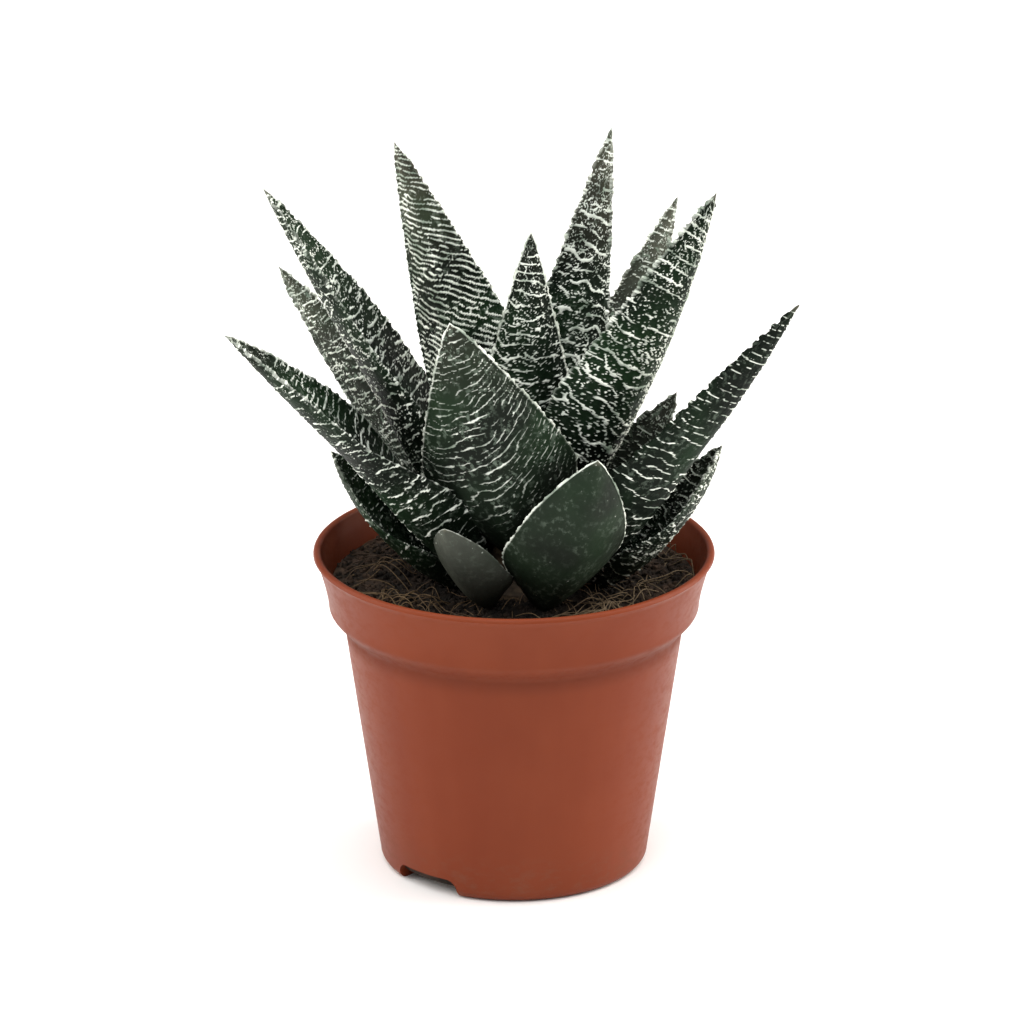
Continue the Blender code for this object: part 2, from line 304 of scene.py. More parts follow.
def matched(loop, before):
    """Turn a station's outline until each point faces its fellow in the station before."""
    turns = [np.roll(way, k, axis=0) for way in (loop, loop[::-1]) for k in range(len(loop))]
    centred = before - before.mean(0)
    return min(turns, key=lambda t: ((t - t.mean(0) - centred) ** 2).sum())


def in_order(ring):
    """Walk the points of one station round its outline."""
    members = set(ring)
    nearby = {}
    for v in ring:
        nearby[v] = [
            e.other_vert(v)
            for e in v.link_edges
            if e.other_vert(v) in members
            and any(not set(f.verts) <= members for f in e.link_faces)
        ]
    loop = [ring[0]]
    while len(loop) < len(ring):
        loop.append(next(v for v in nearby[loop[-1]] if v not in loop))
    return loop


def lengths(rows):
    """Distance along a polyline from its first point."""
    steps = np.linalg.norm(np.diff(rows, axis=0), axis=-1)
    return np.concatenate([[0.0], np.cumsum(steps)])


def blade_mesh(node, spacing, sideways):
    """A dense leaf skin through a leaf solid's stations, with its own coordinates.

    blade: mm from the stem, mm from the middle, 1 above and 0 below.
    place: share of the length, mm from the margin, mm of half width.
    """
    uppers, lowers = leaf_stations(node)
    widest = np.linalg.norm(uppers[:, 0] - uppers[:, 4], axis=-1).max()
    across = max(20, int(widest / sideways))
    fine = np.linspace(0, len(uppers) - 1, 400)
    spine = lengths(curve_through(uppers[:, 2], fine))
    rows = int(spine[-1] / spacing)
    wanted = np.linspace(0, spine[-1], rows + 1)[:-1]
    steps = np.interp(wanted, spine, fine)
    upper = curve_through(uppers, steps).transpose(1, 0, 2)
    lower = curve_through(lowers, steps).transpose(1, 0, 2)
    upper = curve_through(upper, np.linspace(0, 4, across)).transpose(1, 0, 2)
    lower = curve_through(lower, np.linspace(6, 0, across)).transpose(1, 0, 2)
    half = np.linalg.norm(upper[:, 0] - upper[:, -1], axis=-1) / 2
    grid, blade, place = [], [], []
    for k in range(rows):
        for side, chain in ((1.0, upper[k]), (0.0, lower[k])):
            walk = lengths(chain)
            middle = walk[-1] / 2
            edge = np.minimum(walk, walk[-1] - walk)
            lateral = (walk - middle) * (1.0 if side else -1.0)
            keep = slice(0, across - 1)
            grid.append(chain[keep])
            rim = np.full(across, side)
            rim[0] = 0.5
            station = np.full(across, wanted[k])
            blade.append(np.stack([station / MM, lateral / MM, rim], -1)[keep])
            share = np.full(across, wanted[k] / spine[-1])
            place.append(np.stack([share, edge / MM, np.full(across, half[k]) / MM], -1)[keep])
    ring = 2 * (across - 1)
    tip, heart = uppers[-1, 0], uppers[0].mean(0) - (uppers[1, 2] - uppers[0, 2]) * 0.5
    points = np.concatenate(grid + [[tip], [heart]])
    blade = np.concatenate(blade + [[[spine[-1] / MM, 0, 0.5]], [[0, 0, 0.5]]])
    place = np.concatenate(place + [[[1, 0, 0]], [[0, 5, 1]]])
    k = np.arange(ring)
    n = (k + 1) % ring
    quads = [np.stack([r * ring + k, r * ring + n, (r + 1) * ring + n, (r + 1) * ring + k], -1)
             for r in range(rows - 1)]
    last = (rows - 1) * ring
    crown = np.stack([last + k, last + n, np.full(ring, len(points) - 2)], -1)
    foot = np.stack([n, k, np.full(ring, len(points) - 1)], -1)
    mesh = bpy.data.meshes.new(node + "_skin")
    faces = np.concatenate(quads).tolist() + crown.tolist() + foot.tolist()
    mesh.from_pydata(points.tolist(), [], faces)
    for name, data in (("blade", blade), ("place", place)):
        layer = mesh.attributes.new(name, "FLOAT_VECTOR", "POINT")
        layer.data.foreach_set("vector", data.astype(np.float32).ravel())
    bm = bmesh.new()
    bm.from_mesh(mesh)
    if face_out(bm):
        bm.to_mesh(mesh)
    bm.free()
    return mesh


RIDGE_FIELDS = {
    "Pitch": 1.5,  # mm from ridge to ridge
    "Line Width": 0.3,  # mm
    "Height": 0.22,  # mm that a ridge stands proud
    "Lines": 1.0,  # share of the ridges' white
    "Wander": 1.0,  # how far ridges stray from straight
    "Breaks": 0.5,  # higher leaves more gaps
    "Run": 2.4,  # mm between gaps
    "Slant": 0.0,  # rise towards the leaf's side
    "Arch": 0.0,  # rise away from its middle
    "Web": 0.6,  # share of the fine net
    "Threads": 0.0,  # share of the long threads
    "Cell": 3.0,  # mm across the net's cells
    "Specks": 0.3,  # share of the tubercles
    "Tip Specks": 0.35,  # added towards the tip
    "Speck Size": 0.75,  # mm
    "Under": 0.9,  # share of it all on the lower face
    "Margin": 0.35,  # white along the margins
    "Teeth": 0.8,  # roughness of the margins
    "Grain": 0.45,  # powdery dust between ridges
    "Bloom": 0.0,  # grey haze
    "Tip Bloom": 0.25,  # dryness of the tip
    "Base Fade": 0.5,  # share lost at the stem
    "Seed": 1.0,
}


def ridge_tree():
    """Raise white ridges, webs and tubercles out of a leaf skin along its own coordinates."""
    g, given = geometry_graph("leaf_ridges", RIDGE_FIELDS)
    along, across, side = g.parts(g.stored("blade", "FLOAT_VECTOR"))
    share, edge, half = g.parts(g.stored("place", "FLOAT_VECTOR"))
    pitch, seed = given["Pitch"], given["Seed"] + side.math("ROUND") * 9.0

    # Broken ridges that run across the leaf
    warp = g.noise(g.vector(along / (pitch * 2.2), across / 4.5, seed), 1.0, 1.0) - 0.5
    jolt = g.noise(g.vector(along / 0.9, across / 1.1, seed + 1.7), 1.0, 1.0) - 0.5
    bend = across * given["Slant"] + across * across * given["Arch"]
    crowding = share * 0.45 + 0.65
    phase = (along * crowding + bend + jolt * 0.5) / pitch + warp * given["Wander"] * 2.2
    off = (phase.math("FRACT") - 0.5).math("ABSOLUTE") * pitch
    swell = g.noise(g.vector(along / 1.1, across / 1.6, seed + 3.3), 1.0, 1.0)
    width = given["Line Width"] * (swell * 1.3 + 0.10)
    whole = g.noise(g.vector(along / (pitch * 0.7), across / given["Run"], seed + 6.1), 1.0, 1.0)
    kept = whole.between(given["Breaks"] - 0.06, given["Breaks"] + 0.05)
    lines = off.between(width * 0.45, width, 1.0, 0.0) * kept * given["Lines"]

    # A thin net, stretched across the leaf
    cell = given["Cell"]
    spot = g.noise(g.vector(along / 2.2, across / 2.6, seed + 7.1), 1.0, 1.0)
    net_place = g.vector(along / cell + spot * 1.3, across / (cell * 2.0) + spot * 0.8, seed)
    net = g.add("ShaderNodeTexVoronoi", {"feature": "DISTANCE_TO_EDGE"}, {"Vector": net_place})
    fray = g.noise(g.vector(along / 1.2, across / 1.7, seed + 5.5), 1.0, 1.0)
    web = net.between(0.012, 0.055, 1.0, 0.0) * fray.between(0.40, 0.52) * given["Web"]

    # Long fine threads, stretched along the leaf
    long_place = g.vector(along / 8.0 + spot * 1.1, across / 4.2 + spot * 1.3, seed + 4.9)
    strung = g.add("ShaderNodeTexVoronoi", {"feature": "DISTANCE_TO_EDGE"}, {"Vector": long_place})
    threads = strung.between(0.010, 0.034, 1.0, 0.0) * given["Threads"]

    # Chalky tubercles, closer together towards the tip
    size = given["Speck Size"]
    dots = g.add(
        "ShaderNodeTexVoronoi",
        None,
        {"Vector": g.vector(along / size, across / (size * 1.7) + spot, seed + 2.0)},
    )
    luck = g.parts(Value(g, dots.socket.node.outputs["Color"]))
    crowd = given["Specks"] + share.between(0.35, 0.9) * given["Tip Specks"]
    chosen = (luck[0] + crowd).between(0.92, 1.0)
    specks = dots.between(0.12, luck[1] * 0.22 + 0.24, 1.0, 0.0) * chosen

    below = side.between(0.0, 0.4, given["Under"], 1.0)
    # stem_end lowers the ridges and grain towards the stem; their fading white there is painted
    # shade where the leaves crowd
    stem_end = share.between(0.02, 0.36, 1.0 - given["Base Fade"], 1.0)
    strength = g.noise(g.vector(along / 5.0, across / 4.0, seed + 8.8), 1.0, 1.0)
    ridge = lines.math("MAXIMUM", web).math("MAXIMUM", specks * 0.9) * below * stem_end
    ridge = ridge * strength.between(0.25, 0.55, 0.7, 1.0)
    ridge = ridge.math("MAXIMUM", threads * share.between(0.04, 0.2))
    beads = g.noise(g.vector(along / 0.7, side, seed + 4.4), 1.0, 1.0)
    rim = edge.between(0.06, 0.34, 1.0, 0.0) * given["Margin"] * beads.between(0.25, 0.6, 0.5, 1.0)
    ridge = ridge.math("MAXIMUM", rim)

    # Teeth stand out at the margins; the skin between is finely pebbled
    tooth = edge.between(0.0, 0.55, 1.0, 0.0) * beads.between(0.38, 0.62) * given["Teeth"]
    narrow = half.between(0.0, 1.5, 0.2, 1.0)
    pebbles = g.noise(g.vector(along / 0.45, across / 0.45, seed), 1.0, 2.0) - 0.5
    rise = (ridge * given["Height"] + tooth * 0.30 + pebbles * 0.08 * given["Teeth"]) * narrow
    offset = g.scaled(g.add("GeometryNodeInputNormal"), rise * MM)
    stored = g.add(
        "GeometryNodeSetPosition", None, {"Geometry": given["Geometry"], "Offset": offset}
    )
    dryness = share.between(0.6, 1.05) * given["Tip Bloom"]
    dryness = dryness.math("MAXIMUM", share.between(0.96, 1.0) * 0.8)
    stores = {
        "ridge": ridge,
        "bloom": given["Bloom"],
        "dry": dryness,
        "grain": given["Grain"] * (strength.between(0.3, 0.6) * 0.7 + 0.3) * stem_end,
        # shade runs from 0.2 at the stem to 1 at 0.44 of the length: painted shade where the leaves
        # crowd the stem
        "shade": share.between(0.0, 0.44, 0.2, 1.0),
    }
    for name, value in stores.items():
        stored = g.add(
            "GeometryNodeStoreNamedAttribute",
            {"data_type": "FLOAT", "domain": "POINT"},
            {"Geometry": stored, "Name": name, "Value": value},
        )
    return end_tree(g, stored, given["Material"])


# How each leaf's skin differs from RIDGE_FIELDS; leaves not named here take the defaults
LEAF_HABIT = {
    "leaf_back_wide": {
        "Pitch": 1.1, "Line Width": 0.25, "Wander": 0.8, "Breaks": 0.41, "Run": 3.6,
        "Slant": 0.66, "Web": 0.5, "Cell": 3.4, "Specks": 0.08, "Tip Specks": 0.0, "Margin": 0.2,
        "Grain": 0.5, "Tip Bloom": 0.55,
    },
    "leaf_back_tall": {
        "Pitch": 2.3, "Line Width": 0.34, "Breaks": 0.46, "Slant": 0.2, "Web": 0.9,
        "Threads": 0.5, "Specks": 0.08, "Tip Specks": 0.6, "Speck Size": 1.0, "Teeth": 1.1,
        "Grain": 0.38, "Tip Bloom": 0.7,
    },
    "leaf_right_back": {
        "Pitch": 1.3, "Line Width": 0.2, "Breaks": 0.52, "Specks": 0.7, "Tip Specks": 0.3,
        "Speck Size": 0.62, "Teeth": 1.1, "Grain": 1.0, "Bloom": 0.6, "Tip Bloom": 0.6,
    },
    "leaf_right_tall": {
        "Pitch": 2.2, "Line Width": 0.26, "Height": 0.28, "Wander": 0.8, "Breaks": 0.45,
        "Run": 5.0, "Arch": -0.02, "Web": 0.45, "Threads": 0.9, "Cell": 4.2, "Specks": -0.08,
        "Tip Specks": 0.05, "Margin": 0.45, "Teeth": 1.5, "Grain": 0.1, "Tip Bloom": 0.0,
    },
    "leaf_heart": {
        "Pitch": 1.8, "Line Width": 0.26, "Lines": 0.85, "Breaks": 0.47, "Run": 3.4, "Web": 0.8,
        "Threads": 0.5, "Cell": 3.4, "Specks": -0.05, "Tip Specks": 0.2, "Margin": 1.0,
        "Teeth": 0.9, "Grain": 0.12, "Tip Bloom": 0.05, "Base Fade": 0.6,
    },
    "leaf_right_low": {
        "Line Width": 0.16, "Lines": 0.8, "Wander": 0.7, "Breaks": 0.42, "Run": 4.5, "Web": 0.0,
        "Specks": 0.12, "Tip Specks": 0.0, "Speck Size": 0.5, "Under": 1.0, "Margin": 0.05,
        "Teeth": 1.8, "Grain": 0.35, "Tip Bloom": 0.0, "Base Fade": 1.0,
    },
    "leaf_left_tall": {
        "Pitch": 1.7, "Line Width": 0.26, "Breaks": 0.49, "Web": 0.8, "Threads": 0.3, "Cell": 3.6,
        "Specks": 0.34, "Tip Specks": 0.1, "Speck Size": 0.95, "Teeth": 1.2, "Grain": 0.12,
        "Tip Bloom": 0.05,
    },
    "leaf_left_back": {
        "Pitch": 1.2, "Line Width": 0.2, "Specks": 0.6, "Tip Specks": 0.1, "Speck Size": 0.6,
        "Teeth": 1.2, "Grain": 1.0, "Bloom": 0.35, "Tip Bloom": 0.4,
    },
    "leaf_left_low": {
        "Pitch": 1.4, "Line Width": 0.2, "Breaks": 0.48, "Run": 3.2, "Web": 0.5, "Cell": 3.4,
        "Specks": 0.12, "Tip Specks": 0.3, "Speck Size": 0.6, "Margin": 0.42, "Teeth": 0.9,
        "Grain": 0.3, "Tip Bloom": 0.05,
    },
    "leaf_front_wide": {
        "Pitch": 1.25, "Line Width": 0.21, "Lines": 0.62, "Wander": 1.1, "Breaks": 0.42,
        "Run": 5.0, "Slant": 0.42, "Arch": -0.03, "Web": 0.15, "Specks": 0.05, "Tip Specks": 0.1,
        "Speck Size": 0.5, "Under": 0.85, "Margin": 0.62, "Grain": 0.6, "Bloom": 0.1,
        "Tip Bloom": 0.12, "Base Fade": 1.0,
    },
    "leaf_front_blunt": {
        "Pitch": 0.8, "Line Width": 0.2, "Height": 0.1, "Lines": 0.14, "Web": 0.0, "Specks": 0.0,
        "Tip Specks": 0.0, "Under": 0.8, "Margin": 0.8, "Teeth": 0.5, "Grain": 0.3, "Bloom": 0.2,
        "Tip Bloom": 0.0,
    },
    "leaf_front_small": {
        "Height": 0.08, "Lines": 0.06, "Web": 0.0, "Specks": 0.0, "Tip Specks": 0.0,
        "Margin": 0.4, "Teeth": 0.2, "Grain": 0.14, "Bloom": 0.85, "Tip Bloom": 0.1,
    },
    "leaf_left_skirt": {
        "Pitch": 1.2, "Line Width": 0.18, "Breaks": 0.56, "Web": 0.3, "Tip Specks": 0.2,
        "Speck Size": 0.5, "Under": 0.7, "Grain": 0.7, "Tip Bloom": 0.1,
    },
    "leaf_right_skirt": {
        "Line Width": 0.2, "Breaks": 0.48, "Web": 0.7, "Cell": 2.8, "Tip Specks": 0.3,
        "Speck Size": 0.7, "Teeth": 1.2, "Grain": 0.6, "Tip Bloom": 0.15,
    },
    "leaf_right_short": {
        "Pitch": 1.2, "Line Width": 0.2, "Breaks": 0.56, "Specks": 0.45, "Tip Specks": 0.3,
        "Speck Size": 0.5, "Teeth": 1.6, "Grain": 1.0, "Bloom": 0.4,
    },
}


def leaf_material(look):
    """Deep green flesh, grey bloom, grain, chalky ridges, a dry tip and painted shade at the stem.
    """
    made, g, shader = new_material("leaf_flesh", 0.55, 0.06)
    place = object_place(g)
    ridge, bloom, dry, grain, shade = (
        g.add("ShaderNodeAttribute", {"attribute_name": name}, None, "Fac")
        for name in ("ridge", "bloom", "dry", "grain", "shade")
    )
    mottle = g.noise(place, 260.0, 4.0, 0.6)
    patch = g.noise(place, 75.0, 2.0)
    crumbs = g.noise(place, 1250.0, 3.0, 0.65)
    flesh = g.mix(patch.between(0.38, 0.68), (*look.deep_green, 1.0), (*look.fresh_green, 1.0))
    # Painted shade: the flesh darkens towards painted_base_shade near the stem, and the bloom thins
    # there too
    flesh = g.mix(shade, (*look.painted_base_shade, 1.0), flesh)
    haze = bloom * (mottle * 1.2 + 0.3) * shade
    flesh = g.mix(haze.math("MINIMUM", 1.0), flesh, (*look.bloom_grey, 1.0))
    sear = (dry * (mottle * 1.3 + 0.2)).math("MINIMUM", 1.0)
    flesh = g.mix(sear, flesh, (*look.dry_tip, 1.0))
    dust = crumbs.between(0.50, 0.65) * mottle.between(0.36, 0.60) * grain
    flesh = g.mix(dust, flesh, (*look.ridge_shadow, 1.0))
    chalk = g.mix(mottle.between(0.3, 0.6), (*look.ridge_shadow, 1.0), (*look.ridge_chalk, 1.0))
    white = (ridge + (crumbs - 0.5) * 0.30).between(0.20, 0.62)
    wire(g, g.mix(white, flesh, chalk), shader, "Base Color")
    wire(g, white * 0.25 + 0.45 + mottle * 0.1, shader, "Roughness")
    bumped(g, shader, crumbs + mottle * 0.8, 0.55, 0.16 * MM)
    return made


class LeafLook(bpy.types.PropertyGroup):
    """Sizes and colours of the leaves."""

    spacing: bpy.props.FloatProperty(
        name="Row spacing", description="Distance between rows of the leaf skin",
        default=0.17 * MM, min=0.05 * MM, unit="LENGTH",
    )
    sideways: bpy.props.FloatProperty(
        name="Sideways spacing", description="Between mesh columns at a leaf's widest",
        default=0.28 * MM, min=0.1 * MM, unit="LENGTH",
    )
    relief: bpy.props.FloatProperty(
        name="Relief", description="Multiplies the height of the ridges",
        default=1.0, min=0.0, subtype="FACTOR",
    )
    deep_green: bpy.props.FloatVectorProperty(
        name="Deep green", description="Flesh in its darkest patches",
        default=(0.0035, 0.0065, 0.0040), subtype="COLOR", size=3,
    )
    fresh_green: bpy.props.FloatVectorProperty(
        name="Fresh green", description="Flesh in its lightest patches",
        default=(0.0085, 0.0235, 0.0092), subtype="COLOR", size=3,
    )
    bloom_grey: bpy.props.FloatVectorProperty(
        name="Bloom", description="Grey waxy bloom on old skin and tips",
        default=(0.072, 0.080, 0.066), subtype="COLOR", size=3,
    )
    ridge_chalk: bpy.props.FloatVectorProperty(
        name="Ridge chalk", description="Crests of the ridges",
        default=(0.90, 0.95, 0.86), subtype="COLOR", size=3,
    )
    ridge_shadow: bpy.props.FloatVectorProperty(
        name="Ridge shade", description="Thin places of the ridges",
        default=(0.22, 0.28, 0.22), subtype="COLOR", size=3,
    )
    # Painted shade: the dark flesh colour near the stem, where the crowded leaves shade it
    painted_base_shade: bpy.props.FloatVectorProperty(
        name="Base shade", description="Flesh where leaves crowd the stem",
        default=(0.0025, 0.0035, 0.0025), subtype="COLOR", size=3,
    )
    dry_tip: bpy.props.FloatVectorProperty(
        name="Dry tip", description="Dry skin towards a leaf's tip",
        default=(0.150, 0.143, 0.110), subtype="COLOR", size=3,
    )


class PLANT_OT_leaves(bpy.types.Operator):
    """Give every leaf solid a ridged skin of its own"""

    bl_idname = "plant.make_leaves"
    bl_label = "Leaves"

    def execute(self, context):
        look = context.scene.plant_leaf
        skin = leaf_material(look)
        tree = ridge_tree()
        for index, node in enumerate(LEAF_NODES):
            values = dict(RIDGE_FIELDS)
            values.update(LEAF_HABIT.get(node, {}))
            values["Height"] *= look.relief
            values["Seed"] = 1.0 + index * 4.7
            values["Material"] = skin
            mesh = blade_mesh(node, look.spacing, look.sideways)
            piece = grown(node.replace("leaf_", "blade_"), mesh, tree, values)
            settle(piece, "leaf_skin", node)
        return {"FINISHED"}


# Pot

POT_DUST = (0.15, 0.09, 0.06, 1.0)
# Painted shade colour for the band in the fold under the collar
POT_COLLAR_SHADE = (0.066, 0.0150, 0.0085, 1.0)


class PotLook(bpy.types.PropertyGroup):
    """Sizes and colours of the pot."""

    rim_diameter: bpy.props.FloatProperty(
        name="Rim diameter", description="Outside of the lip",
        default=POT_HIGH.x - POT_LOW.x, unit="LENGTH",
    )
    height: bpy.props.FloatProperty(
        name="Height", description="Foot to lip", default=POT_HIGH.z - POT_LOW.z, unit="LENGTH"
    )
    wall: bpy.props.FloatProperty(
        name="Wall", description="Wall thickness", default=0.9 * MM, unit="LENGTH"
    )
    segments: bpy.props.IntProperty(
        name="Segments", description="Faces round the pot", default=192, min=24
    )
    clay_red: bpy.props.FloatVectorProperty(
        name="Clay red", description="The plastic's own colour",
        default=(0.172, 0.0310, 0.0095), subtype="COLOR", size=3,
    )
    clay_pale: bpy.props.FloatVectorProperty(
        name="Worn red", description="The plastic where it has paled",
        default=(0.194, 0.0385, 0.0130), subtype="COLOR", size=3,
    )


def pot_outside(look):
    """The pot's outside from below the lip to above the foot, as (radius, height)."""
    radius, height = look.rim_diameter / 2, look.height
    collar, body, foot = COLLAR * radius, BODY * radius, FOOT * radius
    flare = [
        (collar + 1.61 * MM * t**1.4, height - 7.8 * MM + 6.7 * MM * t)
        for t in np.linspace(1, 0, 24)
    ]
    step = [
        (body + (collar - body) * t * t * (3 - 2 * t), height - 11.0 * MM + 3.2 * MM * t)
        for t in np.linspace(1, 0, 16)[1:]
    ]
    side = [
        (body + (foot - body) * t, height - 11.0 * MM + (12.5 * MM - height) * t)
        for t in np.linspace(0, 1, 24)[1:]
    ]
    return np.array(flare + step + side)


def pot_outline(look):
    """The pot's section from the middle of its floor, over the lip, to the middle below."""
    radius, height = look.rim_diameter / 2, look.height
    outside = pot_outside(look)
    slope = np.gradient(outside, axis=0)
    slope /= np.linalg.norm(slope, axis=1)[:, None]
    inside = outside + np.stack([slope[:, 1], -slope[:, 0]], -1) * look.wall
    floor, round_ = 1.1 * MM, 0.55 * MM
    inside = inside[(inside[:, 1] > floor + 1.2 * MM) & (inside[:, 1] < height - 1.9 * MM)]
    foot = outside[-1]
    turn = np.linspace(0, math.pi / 2, 8)[1:]
    heel = [(foot[0] - 1.5 * MM * (1 - math.cos(a)), foot[1] * (1 - math.sin(a))) for a in turn]
    around = np.linspace(math.pi, 0, 11)
    lip = [
        (radius - round_ + round_ * math.cos(a), height - round_ + round_ * math.sin(a))
        for a in around
    ]
    hub, sole = heel[-1][0], 0.35 * MM
    below = [(hub - 2.2 * MM, 0.0), (hub - 2.5 * MM, sole), (4.0 * MM, sole)]
    below += [(3.6 * MM, sole + 0.2 * MM), (1.6 * MM, sole + 0.2 * MM)]
    below += [(1.4 * MM, 0.1 * MM), (0.0, 0.1 * MM)]
    corner = [(0.0, floor), (inside[-1][0] - 0.9 * MM, floor)]
    return corner + inside[::-1].tolist() + lip + outside.tolist() + heel + below


def notch_block(azimuth, foot):
    """A rounded block that opens the foot for drainage."""
    width, tall, depth = 10.5 * MM, 2.6 * MM, 4.5 * MM
    bm = bmesh.new()
    bmesh.ops.create_cube(bm, size=1.0)
    length = depth + 1.5 * MM
    bmesh.ops.scale(bm, vec=(length, width, 2 * tall), verts=bm.verts)
    upper = []
    for edge in bm.edges:
        a, b = edge.verts[0].co, edge.verts[1].co
        if min(a.z, b.z) > 0 and abs(a.x - b.x) > 0.5 * length:
            upper.append(edge)
    bmesh.ops.bevel(bm, geom=upper, offset=0.6 * tall, segments=6, affect="EDGES", profile=0.5)
    place = Matrix.Rotation(math.radians(azimuth), 4, "Z")
    place @= Matrix.Translation((foot - depth + length / 2, 0, 0))
    bm.transform(place)
    return bm


def pot_material(look):
    """Matt injection-moulded plastic with faint flow streaks, scuffs and a painted shade band under
    the collar.
    """
    made, g, shader = new_material("moulded_plastic", 0.42, 0.14)
    place = object_place(g)
    x, y, z = g.parts(place)
    streaks = g.noise(g.vector(x * 220.0, y * 220.0, z * 18.0), 1.0, 3.0)
    cloud = g.noise(place, 45.0, 3.0)
    scuffs = g.noise(g.vector(x * 500.0, y * 500.0, z * 900.0), 1.0, 4.0, 0.7)
    tone = (cloud * 0.7 + streaks * 0.3).between(0.35, 0.68)
    colour = g.mix(tone, (*look.clay_red, 1.0), (*look.clay_pale, 1.0))
    dust = z.between(2.0 * MM, 9.0 * MM, 0.22, 0.0) * scuffs.between(0.45, 0.7)
    colour = g.mix(dust, colour, POT_DUST)
    # Painted shade: a dark band in the fold under the collar, which is also rougher there
    collar_shade = (z - (look.height - 10.4 * MM)).math("ABSOLUTE").between(0.3 * MM, 3.0 * MM, 0.34, 0.0)
    colour = g.mix(collar_shade, colour, POT_COLLAR_SHADE)
    wire(g, colour, shader, "Base Color")
    wire(g, scuffs.between(0.4, 0.7) * 0.12 + tone * 0.06 + collar_shade * 0.5 + 0.38, shader, "Roughness")
    bumped(g, shader, scuffs * 0.6 + streaks * 0.4, 0.10, 0.03 * MM)
    return made


class PLANT_OT_pot(bpy.types.Operator):
    """Turn the moulded pot with its lip, collar, foot and drain notches"""

    bl_idname = "plant.make_pot"
    bl_label = "Pot"

    def execute(self, context):
        look = context.scene.plant_pot
        bm = bmesh.new()
        line = [bm.verts.new((r, 0.0, z)) for r, z in pot_outline(look)]
        edges = [bm.edges.new(pair) for pair in zip(line, line[1:])]
        bmesh.ops.spin(
            bm, geom=line + edges, cent=(0, 0, 0), axis=(0, 0, 1),
            angle=math.tau, steps=look.segments,
        )
        bmesh.ops.remove_doubles(bm, verts=bm.verts, dist=0.005 * MM)
        bmesh.ops.recalc_face_normals(bm, faces=bm.faces)
        face_out(bm)
        pot = mesh_object("pot", bm, pot_material(look))
        tools = []
        for azimuth in (-132.0, 48.0):
            block = notch_block(azimuth, FOOT * look.rim_diameter / 2)
            bmesh.ops.recalc_face_normals(block, faces=block.faces)
            face_out(block)
            tool = mesh_object(f"notch_{int(azimuth)}", block, pot.data.materials[0])
            step = pot.modifiers.new("Notch", "BOOLEAN")
            step.operation = "DIFFERENCE"
            step.object = tool
            tools.append(tool)
        graph = context.evaluated_depsgraph_get()
        cut = bpy.data.meshes.new_from_object(pot.evaluated_get(graph))
        pot.modifiers.clear()
        pot.data = cut
        cut.shade_smooth()
        cut.set_sharp_from_angle(angle=math.radians(35))
        for tool in tools:
            bpy.data.objects.remove(tool)
        settle(pot, "pot_plastic", "grower_pot")
        return {"FINISHED"}


# Soil and what lies in it

# Painted shade colour for the peat under the leaves
UNDER_LEAF_SHADE = (0.0035, 0.0030, 0.0024, 1.0)
BLEACHED = (0.30, 0.235, 0.15, 1.0)
ROOT_BROWN = (0.020, 0.014, 0.009, 1.0)
ROOT_TAN = (0.095, 0.066, 0.038, 1.0)
ROOT_SPOT = (0.012, 0.009, 0.006, 1.0)


class SoilLook(bpy.types.PropertyGroup):
    """Sizes and colours of the peat."""

    relief: bpy.props.FloatProperty(
        name="Relief", description="Height of the peat's lumps", default=0.9 * MM, unit="LENGTH"
    )
    mound: bpy.props.FloatProperty(
        name="Mound", description="Peat heaped round the stem", default=1.7 * MM, unit="LENGTH"
    )
    crumbs: bpy.props.IntProperty(
        name="Crumbs", description="Crumbs for each square centimetre", default=130, min=0
    )
    fibres: bpy.props.IntProperty(
        name="Fibres", description="Fibres for each square centimetre", default=15, min=0
    )
    dark: bpy.props.FloatVectorProperty(
        name="Damp peat", description="Peat in its hollows",
        default=(0.012, 0.008, 0.005), subtype="COLOR", size=3,
    )
    light: bpy.props.FloatVectorProperty(
        name="Dry peat", description="Peat on its crests",
        default=(0.075, 0.046, 0.030), subtype="COLOR", size=3,
    )
    straw: bpy.props.FloatVectorProperty(
        name="Straw", description="The palest fibres",
        default=(0.19, 0.125, 0.062), subtype="COLOR", size=3,
    )


def peat_material(name, look, pale):
    """Crumbly peat, darker under the leaves with painted shade; pale is how far its crests go
    towards straw.
    """
    made, g, shader = new_material(name, 0.9, 0.25)
    place = object_place(g)
    lumps = g.noise(place, 420.0, 6.0, 0.65)
    flecks = g.noise(place, 1400.0, 3.0, 0.6)
    colour = g.mix(lumps.between(0.38, 0.66), (*look.dark, 1.0), (*look.light, 1.0))
    colour = g.mix(flecks.between(0.60, 0.78) * pale, colour, (*look.straw, 1.0))
    x, y, _ = g.parts(place)
    # Painted shade: the peat darkens towards the stem, under the leaves
    under_leaf_shade = (x * x + y * y).math("SQRT").between(10.0 * MM, 24.0 * MM, 0.82, 0.0)
    colour = g.mix(under_leaf_shade, colour, UNDER_LEAF_SHADE)
    wire(g, colour, shader, "Base Color")
    wire(g, flecks * 0.15 + 0.8, shader, "Roughness")
    bumped(g, shader, lumps + flecks * 0.5, 0.8, 0.5 * MM)
    return made


def fibre_material(look):
    """Dead roots and bark fibres, each place its own brown."""
    made, g, shader = new_material("peat_fibre", 0.75, 0.3)
    place = object_place(g)
    shade = g.noise(place, 90.0, 2.0)
    fine = g.noise(place, 2500.0, 2.0)
    drier = g.parts(place)[0].between(2.0 * MM, 18.0 * MM)
    dryness = shade.between(0.38, 0.66).math("MAXIMUM", drier)
    colour = g.mix(dryness, (*look.light, 1.0), (*look.straw, 1.0))
    colour = g.mix(drier * 0.45, colour, BLEACHED)
    wire(g, g.mix(fine * 0.5, colour, (*look.dark, 1.0)), shader, "Base Color")
    wire(g, fine * 0.2 + 0.6, shader, "Roughness")
    bumped(g, shader, fine, 0.5, 0.05 * MM)
    return made


